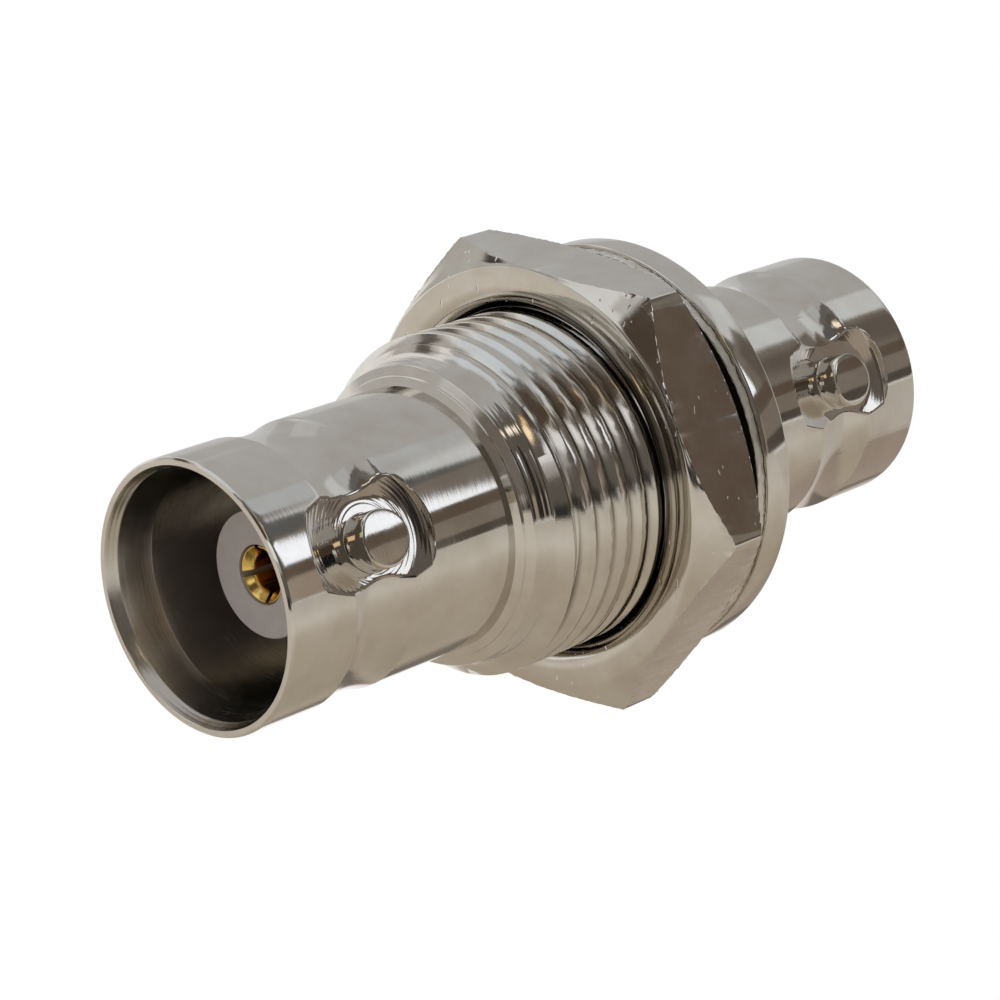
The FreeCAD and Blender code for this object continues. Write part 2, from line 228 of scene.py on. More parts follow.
def nickel(name, colour="#D6D2CB", roughness=(0.035, 0.10), ring_depth=0.0008, ring_spacing=0.07,
           nicks=0.0, grain_depth=0.0002, painted_shade_radius=None, dark_behind=-100.0):
    """Lengths are in mm. painted_shade_radius = (darkest below, unshaded above) paints shade on what
    lies near the axis, where X is more than dark_behind."""
    material, tree = new_material(name)
    place = add_node(tree, "TexCoord").outputs["Object"]
    parts = add_node(tree, "SeparateXYZ", {"Vector": place})
    across = add_node(tree, "CombineXYZ", {"Y": parts.outputs["Y"], "Z": parts.outputs["Z"]})
    radius = vector(tree, "LENGTH", across)
    rings = lathe_rings(tree, parts, across, radius, ring_spacing)
    cloud = noise(tree, place, STAIN_SIZE, 4.0, 0.6)
    grain = noise(tree, place, GRAIN_SIZE, 2.0, 0.6)
    rough = ranged(tree, number(tree, "MULTIPLY", cloud, rings), 0.12, 0.42, roughness)
    stain = add_node(tree, "ValToRGB", {"Fac": cloud})
    dull, bright = stain.color_ramp.elements
    dull.position, dull.color = 0.3, linear("#CBC5BB")
    bright.position, bright.color = 0.62, linear(colour)
    last_bump = bump(tree, grain, grain_depth, bump(tree, rings, ring_depth))
    if nicks:
        last_bump = bump(tree, small_nicks(tree, place), nicks, last_bump)
    base = stain.outputs["Color"]
    if painted_shade_radius:
        base = shaded(tree, base, parts, radius, painted_shade_radius, dark_behind)
    shader = add_node(tree, "BsdfPrincipled", {
        "Base Color": base, "Roughness": rough,
        "Normal": last_bump, "Metallic": 1.0,
    })
    add_node(tree, "OutputMaterial", {"Surface": shader})
    return material


# %% [markdown]
# Handling leaves small nicks on the nut: short pits, longer upright than across, scattered without
# any order. The narrow gaps at thread, nut and washer lie in deep shade and look nearly black, so
# painted shade darkens the plating near the axis there.

# %% Nicks and painted shade in the gaps
NICK_SPACING = 0.37 * MM
NICK_UPRIGHT = 0.22  # share of the height that counts, which makes a nick that much longer upright
WOBBLE_SIZE = 0.9 * MM
WOBBLE_REACH = 0.5 * MM
GAP_SHADE = 0.22  # share of its colour that plating keeps in a gap


def small_nicks(tree, place):
    wobble = noise(tree, place, WOBBLE_SIZE, 2.0)
    reach = (WOBBLE_REACH, WOBBLE_REACH, WOBBLE_REACH)
    bent = vector(tree, "MULTIPLY_ADD", wobble.outputs["Color"], reach, place)
    upright = vector(tree, "MULTIPLY", bent, (1.0, 1.0, NICK_UPRIGHT))
    cells = add_node(tree, "TexVoronoi", {"Vector": upright, "Scale": 1 / NICK_SPACING})
    return ranged(tree, cells.outputs["Distance"], 0.02, 0.12)


# Painted shade: near the axis the plating's colour is scaled down to GAP_SHADE.
def shaded(tree, base, parts, radius, painted_shade_radius, dark_behind):
    dark, clear = painted_shade_radius
    share_kept_under_shade = ranged(tree, radius.outputs["Value"], dark * MM, clear * MM, (GAP_SHADE, 1.0))
    before = number(tree, "LESS_THAN", parts.outputs["X"], dark_behind * MM)
    left = number(tree, "MAXIMUM", share_kept_under_shade, before)
    return add_node(tree, "VectorMath", {0: base, "Scale": left}, operation="SCALE")


# %% [markdown]
# All platings come out of this one recipe. The turned outside is the smoothest, the bore and the
# scored taper are duller, and thread, nut and stamped washer have marks of their own.

# %% Finishes of the plated pieces
turned_nickel = nickel("nickel_plate_on_turned_brass")
bored_nickel = nickel(
    "nickel_plate_in_the_bore", roughness=(0.16, 0.28), ring_depth=0.003, ring_spacing=0.08,
)
scored_nickel = nickel(
    "nickel_plate_over_deep_tool_scores", roughness=(0.12, 0.3), ring_depth=0.003, ring_spacing=0.1,
)
# Painted shade: the plating is darkened toward the roots of the thread, in its grooves.
thread_nickel = nickel(
    "nickel_plate_on_the_thread", roughness=(0.06, 0.16), ring_depth=0.001, grain_depth=0.0012,
    painted_shade_radius=(5.93, 6.12), dark_behind=-8.05,
)
# Painted shade: the plating of the nut's hole and the inner part of its countersink is darkened.
nut_nickel = nickel(
    "nickel_plate_on_milled_nut", roughness=(0.04, 0.12), ring_depth=0.0004, nicks=0.022,
    painted_shade_radius=(6.48, 6.56),
)
rough_nickel = nickel(
    "nickel_plate_on_stamped_steel", colour="#F2EEE8", roughness=(0.3, 0.5), ring_depth=0.004,
    grain_depth=0.02,
)
# Painted shade: the washer's ring and teeth lie in the slit between nut and flange, so their plating  is
# given a dark grey and darkened further below 7.7 mm.
shaded_steel = nickel(
    "washer_steel_in_painted_shade", colour="#6A655F", roughness=(0.4, 0.6), painted_shade_radius=(7.70, 7.79),
)


# %% [markdown]
# The insulators are turned from PTFE, a waxy white plastic that lets a little light in: light
# scatters a few tenths of a millimetre deep, and the surface is hardly glossy. Down in the mouth
# of the jack it lies in deep shade, and its base colour is a warm light grey: painted shade.
# The contact is brass under a thin gold plate. Gold is a metal, so the colour sits in its mirror
# reflections and the IOR stays at its default.

# %% PTFE and gold plate
def speckled(name, speck_size, detail, colours, relief, surface):
    """A plain material whose colour and height vary a little from place to place. relief is the
    strength and the depth in mm of its unevenness, and surface holds the shader's other sockets."""
    material, tree = new_material(name)
    place = add_node(tree, "TexCoord").outputs["Object"]
    specks = noise(tree, place, speck_size * MM, detail)
    tone = add_node(tree, "ValToRGB", {"Fac": specks})
    for element, colour in zip(tone.color_ramp.elements, colours):
        element.color = linear(colour)
    strength, depth = relief
    uneven = add_node(tree, "Bump", {"Height": specks, "Strength": strength, "Distance": depth * MM})
    shader = add_node(tree, "BsdfPrincipled", {"Base Color": tone, "Normal": uneven, **surface})
    add_node(tree, "OutputMaterial", {"Surface": shader})
    return material


# Painted shade: these two greys stand for white PTFE in the shade of the mouth.
ptfe = speckled("ptfe_greyed_by_painted_shade", 0.5, 3.0, ("#A39B98", "#B4ADA9"), (0.5, 0.004), {
    "Roughness": 0.42, "IOR": 1.35, "Subsurface Weight": 0.2,
    "Subsurface Radius": (1.0, 0.9, 0.8), "Subsurface Scale": 0.3 * MM,
})
gold = speckled("gold_plate_on_turned_contact", 0.12, 4.0, ("#DDB359", "#F2D384"), (0.6, 0.006), {
    "Metallic": 1.0, "Roughness": 0.16,
})
print("materials:", [material.name for material in bpy.data.materials])


# %% [markdown]
# A bayonet jack is turned first and milled after. A hollow mill comes in from the side and clears
# a round pocket, and the pin left standing in its middle is the lug. The pocket's floor is flat
# round the pin and rises outward. The barrel is a sheet of rows with a window left open round each
# lug. The window is filled with rings of points that start at the lug's centre, climb down its
# side, cross the floor with its circular tool marks, step up at the mill's edge and end exactly on
# the window's border.

# %% Sizes of the jack
JACK_RADIUS = 4.825
RIM_EDGE = 0.08  # chamfer round the rim
GROOVE_RADIUS = 4.625
GROOVE_HALF_WIDTH = 1.4
LUG_RADIUS = 1.0
LUG_TIP = 5.37
LUG_EDGE = 0.025  # the edge of the lug's tip lies this far under its crown
LUG_FOOT = 0.02  # fillet between lug and floor
LAND_RADIUS = 1.5  # the pocket's floor is flat as far as this from the lug's centre
LATE_RISE = 0.62  # toward +X the floor stays flat this much further
LAND_EDGE = 0.1  # softness of the place where the floor starts to rise
POCKET_EDGE = 0.012  # softness of the edge between barrel and pocket
BARREL_LENGTH = 10.4
FRONT_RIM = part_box("bulkhead_body")[0].x / MM
REAR_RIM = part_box("rear_jack")[1].x / MM
FLANGE_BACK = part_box("bulkhead_body")[1].x / MM
WINDOW_REACH = 2.9  # half the window's length along the barrel
WINDOW_ROW_STEP = 0.2
EDGE_ROW = 0.02  # a row this far beyond an edge keeps its rounding narrow
WINDOW_COLUMNS = 32  # half the window's width
column_angle = 2 * math.pi / COLUMNS


class Jack:
    """One jack. Setbacks are measured from its rim, clocking 0 has a lug toward -Y."""

    def __init__(self, rim, inward, lug_setback, mill_radius, mill_shift, clocking, mark_depth, floor):
        """floor is the pocket's height above the axis at the pin, its rise for each mm outward and
        its slope from one side to the other."""
        self.rim, self.inward, self.lug_setback = rim, inward, lug_setback
        self.mill_radius, self.mill_shift = mill_radius, mill_shift
        self.clocking, self.mark_depth, self.floor = clocking, mark_depth, floor
        share = np.linspace(-1, 1, 17)
        dish = np.stack([
            lug_setback + GROOVE_HALF_WIDTH * share,
            GROOVE_RADIUS + (JACK_RADIUS - GROOVE_RADIUS) * share ** 2,
        ], 1)
        edge = GROOVE_HALF_WIDTH + EDGE_ROW
        self.outline = np.concatenate([
            rounded([(0.0, JACK_RADIUS - RIM_EDGE, 0), (RIM_EDGE, JACK_RADIUS, 0.03), (0.3, JACK_RADIUS, 0)]),
            [(lug_setback - edge, JACK_RADIUS)], dish, [(lug_setback + edge, JACK_RADIUS)],
            [(BARREL_LENGTH, JACK_RADIUS)],
        ])
        low, high = lug_setback - WINDOW_REACH, lug_setback + WINDOW_REACH
        rows = np.concatenate([self.outline[:, 0], np.arange(low, high + 0.01, WINDOW_ROW_STEP)])
        rows = np.unique(np.round(rows, 4))
        self.window_rows = rows[(rows >= low - 0.001) & (rows <= high + 0.001)]

    def x(self, setback):
        return self.rim + self.inward * setback

    def radius(self, setback):
        return np.interp(setback, self.outline[:, 0], self.outline[:, 1])

    def height(self, setback, side):
        """Height of the barrel's surface above the axis, along the lug's own direction."""
        return np.sqrt(np.maximum(self.radius(setback) ** 2 - side ** 2, 0.01))

    def pocket(self, setback, side):
        """Height of the pocket's floor, without its tool marks."""
        level, dish, side_slope = self.floor
        along = self.inward * (setback - self.lug_setback)
        distance = np.hypot(along, side)
        toward_x = np.maximum(along, 0) / np.maximum(distance, 0.1)
        outside = distance - LAND_RADIUS - LATE_RISE * toward_x ** 2
        rise = 0.5 * (outside + np.sqrt(outside ** 2 + LAND_EDGE ** 2))
        return level + dish * rise + side_slope * side

    def lower(self, setback, side, marks=0.0):
        """The lower of barrel and pocket, with the edge between them rounded."""
        barrel, pocket = self.height(setback, side), self.pocket(setback, side) + marks
        blend = np.log1p(np.exp(-np.abs(barrel - pocket) / POCKET_EDGE))
        return np.minimum(barrel, pocket) - POCKET_EDGE * blend

    def point(self, setback, side, height, clocking):
        """From setback, side and height to the frame."""
        turn = math.radians(clocking)
        out = np.array([0.0, -math.cos(turn), math.sin(turn)])
        up = np.array([0.0, math.sin(turn), math.cos(turn)])
        point = np.zeros(np.shape(setback) + (3,))
        point[..., 0] = self.x(setback)
        return point + height[..., None] * out + side[..., None] * up


front_jack = Jack(
    FRONT_RIM, 1, lug_setback=4.22, mill_radius=2.68, mill_shift=-0.1, clocking=-25.2,
    mark_depth=0.0015, floor=(4.37, 0.237, -0.07),
)
rear_jack = Jack(
    REAR_RIM, -1, lug_setback=4.4, mill_radius=2.75, mill_shift=0.0, clocking=-21.2,
    mark_depth=0.0005, floor=(4.42, 0.18, -0.04),
)
print("window rows:", len(front_jack.window_rows), len(rear_jack.window_rows))


# %% [markdown]
# Each ring is a list of directions round the lug, at one distance from its centre, and a rule for
# the height at each place. The rules are small functions: the tip, the lug's flank, the fillet at
# its foot, the floor with the mill's marks, and the wall where the mill's edge stopped.

# %% Rings of points round a lug
MARK_CENTRE = (0.12, 0.16)  # centre of the mill's arcs, off the lug's own in setback and side
MARK_SPACINGS = (0.145, 0.233)
MARKS_START, MARKS_FADE = 1.06, 0.15
TIP_RINGS = (0.0, 0.15, 0.35, 0.6, 0.8, 0.9)
TIP_EDGE_RINGS = ((0.97, 0.002), (0.99, 0.008), (LUG_RADIUS, LUG_EDGE))  # radius, drop under the crown
FLOOR_RINGS, FLOOR_END = 64, 0.03
WALL_RINGS = ((0.025, 0.0), (0.008, 0.12), (0.0, 0.4), (0.0, 0.9))  # inside the mill's edge, share up
BORDER_RINGS = 10


def mill_marks(jack, setback, side, radius):
    """Arcs that the mill's teeth left in the floor, fading out beside the pin."""
    offset = np.hypot(setback - jack.lug_setback - MARK_CENTRE[0], side - MARK_CENTRE[1])
    heading = np.arctan2(side, setback - jack.lug_setback)
    fine, coarse = (2 * math.pi * offset / spacing for spacing in MARK_SPACINGS)
    waves = np.sin(fine) + 0.8 * np.sin(coarse + 1.0)
    swell = 0.7 + 0.3 * np.sin(3 * heading + 0.7)
    return jack.mark_depth * waves * swell * np.clip((radius - MARKS_START) / MARKS_FADE, 0, 1)


def window_border(jack):
    """Setbacks and sides of the window's border, once round."""
    reach = WINDOW_COLUMNS * column_angle
    rows = jack.window_rows
    sweep = np.arange(-WINDOW_COLUMNS, WINDOW_COLUMNS + 1) * column_angle
    border = [(rows[0], angle) for angle in sweep]
    border += [(row, reach) for row in rows[1:]]
    border += [(rows[-1], angle) for angle in sweep[::-1][1:]]
    border += [(row, -reach) for row in rows[::-1][1:]]
    border = np.array(border)
    return border[:, 0], jack.radius(border[:, 0]) * np.sin(border[:, 1])


def lug_sheet(jack, clocking):
    """Rings of points from the lug's centre out to the border of its window."""
    border_setback, border_side = window_border(jack)
    heading = np.arctan2(border_side, border_setback - jack.lug_setback)
    across, along = np.sin(heading), np.cos(heading)

    def place(radius, height):
        """One ring; height is a function of (setback, side)."""
        setback, side = jack.lug_setback + radius * along, radius * across
        return jack.point(setback, side, height(setback, side), clocking)

    def tip(drop):
        return lambda setback, side: np.sqrt(LUG_TIP ** 2 - side ** 2) - drop

    def flank(share):
        def level(setback, side):
            crown = tip(LUG_EDGE)(setback, side)
            return crown + share * (jack.lower(setback, side) + LUG_FOOT - crown)
        return level

    def foot(share):
        return lambda setback, side: floor(LUG_RADIUS)(setback, side) + share * LUG_FOOT

    def floor(radius):
        return lambda setback, side: jack.lower(setback, side, mill_marks(jack, setback, side, radius))

    def wall(share):
        def level(setback, side):
            low_edge = jack.lower(setback, side)
            return low_edge + share * (jack.height(setback, side) - low_edge)
        return level

    rings = [place(radius, tip(0.0)) for radius in TIP_RINGS]
    rings += [place(radius, tip(drop)) for radius, drop in TIP_EDGE_RINGS]
    rings += [place(LUG_RADIUS, flank(share)) for share in (0.25, 0.5, 0.75)]
    rings += [place(LUG_RADIUS, foot(1.0)), place(LUG_RADIUS + 0.007, foot(0.35))]
    mill = jack.mill_radius + jack.mill_shift * along
    for share in np.linspace(0, 1, FLOOR_RINGS):
        radius = LUG_RADIUS + LUG_FOOT + share * (mill - FLOOR_END - LUG_RADIUS - LUG_FOOT)
        rings.append(place(radius, floor(radius)))
    rings += [place(mill - inside, wall(share)) for inside, share in WALL_RINGS]
    brim = mill + EDGE_ROW
    rings.append(place(brim, jack.height))
    brim_setback, brim_side = jack.lug_setback + brim * along, brim * across
    for share in np.linspace(0, 1, BORDER_RINGS + 1)[1:]:
        setback = brim_setback + share * (border_setback - brim_setback)
        side = brim_side + share * (border_side - brim_side)
        rings.append(jack.point(setback, side, jack.height(setback, side), clocking))
    return np.array(rings)


# %% [markdown]
# Every full turn starts at the lug's own angle, or its columns would not meet the windows' borders.

# %% Turning that starts at the lug
def clocked(outline, jack):
    return turned(outline, 180 + jack.clocking)


def jack_outside(jack, last_setback):
    """The barrel from its rim to last_setback, with both lugs."""
    window = jack.window_rows
    setbacks = jack.outline[:, 0]
    before, after = setbacks[setbacks < window[0]], setbacks[setbacks > window[-1]]
    after = np.append(after[after < last_setback - 0.01], last_setback)
    sheets = []
    for rows in (np.append(before, window[0]), np.insert(after, 0, window[-1])):
        sheets.append(clocked(np.stack([jack.x(rows), jack.radius(rows)], 1), jack))
    first, last = WINDOW_COLUMNS, COLUMNS // 2 - WINDOW_COLUMNS
    turn = np.arange(first, last + 1) * column_angle
    for lug in (math.radians(180 + jack.clocking), math.radians(360 + jack.clocking)):
        sheets.append(around(jack.x(window)[:, None], jack.radius(window)[:, None], lug + turn))
    return sheets + [lug_sheet(jack, -jack.clocking), lug_sheet(jack, 180 - jack.clocking)]


# %% [markdown]
# The taper at the mouth is scored all round, as a worn tool leaves it. Behind it a shallow cone
# leads the plug's ferrule into the bore, which ends at the web that holds the insulator.

# %% Tool marks and the mouth of a jack
MOUTH_EDGE = (0.01, 4.555)  # setback and radius
TAPER_END = (0.42, 4.36)
LEAD_END = 1.68
BORE_RADIUS = 4.065
BORE_DEPTH = 8.6
WEB_BACK = 9.6
WEB_BORE = 2.27


def feed_marks(start, end, count, depth):
    """Points between two outline points, cut in by small random depths, as a lathe tool leaves.
    A negative depth cuts the wall of a bore."""
    share = np.linspace(0, 1, count + 2)[1:-1]
    run = np.array(end) - np.array(start)
    outward = np.array([-run[1], run[0]]) / np.linalg.norm(run)
    points = np.array(start) + share[:, None] * run
    return points - np.abs(outward) * [-1, 1] * (depth * random_source.random(count))[:, None]


def jack_mouth(jack):
    """The rim's face and the scored taper behind it."""
    outline = np.concatenate([
        [(0.0, JACK_RADIUS - RIM_EDGE), (0.0, MOUTH_EDGE[1] + 0.01), MOUTH_EDGE],
        feed_marks(MOUTH_EDGE, TAPER_END, 9, -0.012), [TAPER_END],
    ])
    outline[:, 0] = jack.x(outline[:, 0])
    return clocked(outline, jack)


def jack_bore(jack):
    """The cone that leads in, the bore and its floor."""
    outline = rounded([
        (*TAPER_END, 0), (TAPER_END[0] + 0.02, TAPER_END[1] - 0.005, 0), (LEAD_END, BORE_RADIUS, 0.03),
        (BORE_DEPTH, BORE_RADIUS, 0.05), (BORE_DEPTH, WEB_BORE, 0),
    ])
    outline[:, 0] = jack.x(outline[:, 0])
    return clocked(outline, jack)


# %% [markdown]
# The thread is the longest shape here: 28 turns to the inch, right-handed, with wide flat crests.
# A thread is a staircase bent round a cylinder: a point that goes once round climbs one pitch.
# So each row of points leans by one pitch per turn, and the corners of the thread's section stay
# on rows. Where it leaves the threaded length, a row is held at the end, and welding closes it.

# %% Thread sheet
PITCH = 25.4 / 28
CREST_RADIUS = 6.3
THREAD_DEPTH = 0.36
ROOT_RADIUS = CREST_RADIUS - THREAD_DEPTH
BURR_HEIGHT = 0.007
THREAD_START = FRONT_RIM + 11.61
CHAMFER_END = THREAD_START + 0.6
PILOT_RADIUS = 5.65
RELIEF_WIDTH, RELIEF_SLOPE = 0.35, 1.2  # groove in front of the flange, where the thread runs out
BURR_SUNK = 0.6  # share of the burr's height by which it starts under the crest
thread_section = np.array([  # share of the pitch and share of the depth; crest, flank, root, flank
    (0.00, 0.012), (0.025, 0.0), (0.36, 0.0), (0.385, 0.012), (0.55, 0.93),
    (0.575, 1.0), (0.70, 1.0), (0.725, 0.93), (0.965, 0.07),
])
CREST_EDGES = (0, 3)  # places in thread_section where the burr stands


def thread_radius(along, turn_share):
    phase = (along - THREAD_START) / PITCH - turn_share
    phase = phase - np.floor(phase + 1e-9)
    phases = np.append(thread_section[:, 0], 1.0)
    depths = np.append(thread_section[:, 1], thread_section[0, 1])
    radius = CREST_RADIUS - THREAD_DEPTH * np.interp(phase, phases, depths)
    chamfer_rise = (CREST_RADIUS - PILOT_RADIUS) / (CHAMFER_END - THREAD_START)
    chamfer = PILOT_RADIUS + (along - THREAD_START) * chamfer_rise
    relief = ROOT_RADIUS + np.clip(-along - RELIEF_WIDTH, 0, 1) * RELIEF_SLOPE
    return np.minimum(np.minimum(radius, chamfer), relief)


def thread_sheet():
    """Rows that lean by one pitch per turn; the crest's two edges get a ragged burr."""
    first = math.radians(180 + front_jack.clocking)
    share = np.arange(COLUMNS + 1) / COLUMNS
    turns = math.ceil(-THREAD_START / PITCH) + 1
    steps = np.concatenate([turn + thread_section[:, 0] for turn in range(-1, turns + 1)])
    along = np.clip(THREAD_START + PITCH * (steps[:, None] + share), THREAD_START, 0.0)
    radius = thread_radius(along, share)
    corners = len(thread_section)
    burr = random_source.random(along.shape) * np.isin(np.arange(len(steps)) % corners, CREST_EDGES)[:, None]
    burr[:-corners, -1] = burr[corners:, 0]
    burr[-corners:] = 0
    burr *= (along > THREAD_START) & (along < -0.01)
    radius = radius + BURR_HEIGHT * (burr - BURR_SUNK * (burr > 0))
    angle = first + 2 * math.pi * share
    angle[-1] = first
    return around(along, radius, angle)


print("thread turns:", round(-THREAD_START / PITCH, 2))

# %% [markdown]
# The body runs from the front rim to the back of the flange. Its shoulder has two small steps and
# then a slow cone with the tool's feed marks.

# %% Bulkhead body
FLANGE_RADIUS = 7.9
FLANGE_EDGE = 0.1
PRESS_BORE, STUB_RADIUS = 4.32, 4.3
PRESS_END = -4.0
INSULATOR_BORE = 3.32
SHOULDER_STEPS = [(10.52, 5.13, 0.02), (10.60, 5.15, 0.02), (10.74, 5.49, 0.03)]  # setback, radius, rounding
shoulder_end = (FRONT_RIM + 10.87, 5.52)
pilot_end = (THREAD_START, PILOT_RADIUS)
steps_of_shoulder = [(FRONT_RIM + setback, radius, edge) for setback, radius, edge in SHOULDER_STEPS]
shoulder = np.concatenate([
    rounded([(FRONT_RIM + BARREL_LENGTH, JACK_RADIUS, 0), *steps_of_shoulder, (*shoulder_end, 0)]),
    feed_marks(shoulder_end, pilot_end, 9, 0.018), [pilot_end],
])
flange = rounded([
    (0.0, ROOT_RADIUS, 0), (0.0, FLANGE_RADIUS, FLANGE_EDGE), (FLANGE_BACK, FLANGE_RADIUS, FLANGE_EDGE),
    (FLANGE_BACK, PRESS_BORE, 0.04), (PRESS_END, PRESS_BORE, 0), (PRESS_END, INSULATOR_BORE, 0),
    (FRONT_RIM + WEB_BACK, INSULATOR_BORE, 0), (FRONT_RIM + WEB_BACK, WEB_BORE, 0),
    (FRONT_RIM + BORE_DEPTH, WEB_BORE, 0),
])
build_piece("bulkhead_body_plated", [
    (turned_nickel, jack_outside(front_jack, BARREL_LENGTH)
     + [clocked(shoulder, front_jack), clocked(flange, front_jack)]),
    (thread_nickel, [thread_sheet()]),
    (scored_nickel, [jack_mouth(front_jack)]),
    (bored_nickel, [jack_bore(front_jack)]),
], "adapter", "bulkhead_body")

# %% [markdown]
# The rear jack is a second turned part, whose stub is pressed into the body's back. Both parts have
# a web inside, and the insulators sit between the webs.

# %% Rear jack
rear_setback = REAR_RIM - FLANGE_BACK
stub = rounded([
    (FLANGE_BACK, JACK_RADIUS, 0), (FLANGE_BACK, STUB_RADIUS, 0), (PRESS_END, STUB_RADIUS, 0.05),
    (PRESS_END, INSULATOR_BORE, 0), (REAR_RIM - WEB_BACK, INSULATOR_BORE, 0),
    (REAR_RIM - WEB_BACK, WEB_BORE, 0), (REAR_RIM - BORE_DEPTH, WEB_BORE, 0),
])
build_piece("rear_jack_plated", [
    (turned_nickel, jack_outside(rear_jack, rear_setback) + [clocked(stub, rear_jack)]),
    (scored_nickel, [jack_mouth(rear_jack)]),
    (bored_nickel, [jack_bore(rear_jack)]),
], "adapter", "rear_jack")

# %% [markdown]
# The two insulators are plain turned rods with a stepped nose. Only their faces and noses show,
# in the mouths of the jacks, so they get a rounded edge and the PTFE finish.

# %% Insulators
SPLIT = -2.2  # X where the two halves meet
NOSE_SETBACK = 3.0
NOSE_RADIUS, INSULATOR_RADIUS = 2.25, 3.3
CONTACT_HOLE = 1.07
COLLAR_POCKET_RADIUS, COLLAR_POCKET_HALF = 1.65, 0.65


def insulator(name, node_name, rim, inward):
    face = rim + inward * NOSE_SETBACK
    step = rim + inward * WEB_BACK
    pocket = SPLIT - inward * COLLAR_POCKET_HALF
    outline = rounded([
        (face, CONTACT_HOLE, 0), (face, CONTACT_HOLE + 0.05, 0.02), (face, NOSE_RADIUS, 0.06),
        (step, NOSE_RADIUS, 0), (step, INSULATOR_RADIUS, 0.05), (SPLIT, INSULATOR_RADIUS, 0.05),
        (SPLIT, COLLAR_POCKET_RADIUS, 0), (pocket, COLLAR_POCKET_RADIUS, 0), (pocket, CONTACT_HOLE, 0),
        (face, CONTACT_HOLE, 0),
    ])
    build_piece(name, [(ptfe, [turned(outline)])], "adapter", node_name)


insulator("front_insulator_ptfe", "front_insulator", FRONT_RIM, 1)
insulator("rear_insulator_ptfe", "rear_insulator", REAR_RIM, -1)

# %% [markdown]
# The contact ends in four spring fingers. A finger is a quarter of a tube with flat sides, so each
# point of its outline turns less far near the axis than at the outside: the slot keeps its width.

# %% Slotted contact
SLOT_HALF = 0.1
CONTACT_RADIUS, SOCKET_RADIUS = 1.06, 0.675
COLLAR_RADIUS, COLLAR_HALF = 1.6, 0.6
CONTACT_SETBACK = 3.05
FINGER_LENGTH = 4.4
SOCKET_DEPTH = 5.6
CONTACT_CLOCKING = -14.0
CONTACT_COLUMNS = 96
FINGER_COLUMNS = 28
TIP_OUTSIDE = [(0.0, 0.985), (0.012, 1.0), (0.04, 1.025), (0.07, 1.045), (0.1, 1.055)]
TIP_FUNNEL = [(0.0, 0.97), (0.02, 0.945), (0.1, 0.87), (0.2, 0.775), (0.28, 0.695)]


def finger(outline, centre_degrees):
    """One finger: the skin round its outline as one sheet, and its two flat sides."""
    loop = np.concatenate([outline, outline[:1]])
    edge = np.arcsin(SLOT_HALF / loop[:, 1])
    spread = np.linspace(-1, 1, FINGER_COLUMNS + 1)
    angle = math.radians(centre_degrees) + spread[None] * (math.pi / 4 - edge)[:, None]
    skin = around(loop[:, :1], loop[:, 1:], angle)
    count = len(outline)
    half = count // 2
    sides = []
    for column in (0, -1):
        ring = skin[:count, column]
        sides.append(np.stack([ring[:half], ring[::-1][:half]], 0))
    return [skin] + sides


def contact_sheets():
    sheets = []
    outside = TIP_OUTSIDE + [(0.2, CONTACT_RADIUS), (FINGER_LENGTH, CONTACT_RADIUS)]
    inside = TIP_FUNNEL + [(0.34, SOCKET_RADIUS), (FINGER_LENGTH, SOCKET_RADIUS)]
    for rim, inward in ((FRONT_RIM, 1), (REAR_RIM, -1)):
        start = rim + inward * CONTACT_SETBACK
        end, bottom = start + inward * FINGER_LENGTH, start + inward * SOCKET_DEPTH
        outline = np.array(outside + inside[::-1])
        outline[:, 0] = start + inward * outline[:, 0]
        for quarter in range(4):
            sheets += finger(outline, 45 + 90 * quarter + CONTACT_CLOCKING)
        socket = [(end, SOCKET_RADIUS), (bottom, SOCKET_RADIUS), (bottom, 0.0)]
        sheets.append(turned(np.array(socket), columns=CONTACT_COLUMNS))
        slot_end = [(end, SOCKET_RADIUS), (end, CONTACT_RADIUS)]
        sheets.append(turned(np.array(slot_end), columns=CONTACT_COLUMNS))
    front_end = FRONT_RIM + CONTACT_SETBACK + FINGER_LENGTH
    rear_end = REAR_RIM - CONTACT_SETBACK - FINGER_LENGTH
    sheets.append(turned(np.array([
        (front_end, CONTACT_RADIUS), (SPLIT - COLLAR_HALF, CONTACT_RADIUS),
        (SPLIT - COLLAR_HALF, COLLAR_RADIUS), (SPLIT + COLLAR_HALF, COLLAR_RADIUS),
        (SPLIT + COLLAR_HALF, CONTACT_RADIUS), (rear_end, CONTACT_RADIUS),
    ]), columns=CONTACT_COLUMNS))
    return sheets


build_piece(
    "center_contact_gold", [(gold, contact_sheets())], "adapter", "center_contact"
)

# %% [markdown]
# The nut is a hexagon cut by a cone on both faces. Seen in one direction from the axis, its
# outline is simple: the face, the cone, the flat, the cone, the face. Only the distance of the
# flat changes from direction to direction, so one outline per column makes the whole nut, and the
# curved edges between cone and flat fall exactly on rows. Those edges carry a small burr.

# %% Panel nut
FLAT_DISTANCE = 8.0
NUT_BACK, NUT_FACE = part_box("panel_nut")[1].x / MM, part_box("panel_nut")[0].x / MM
NUT_CLOCKING = -26.9
CHAMFER_LENGTH = 0.95
FACE_RADIUS = 7.95
CORNER_RADIUS = FLAT_DISTANCE * 2 / math.sqrt(3)
CORNER_EDGE = 0.05  # softness of the six upright edges
NUT_HOLE, NUT_MOUTH = 6.36, 6.75
COUNTERSINK_DEPTH = 0.42
NUT_BURR = 0.03


def nut_columns():
    """Angles round the nut, close together near its six corners."""
    inside = np.concatenate([
        np.linspace(-30, -27, 9), np.linspace(-27, 27, 73)[1:], np.linspace(27, 30, 9)[1:-1],
    ])
    return np.concatenate([inside + 60 * side for side in range(6)])


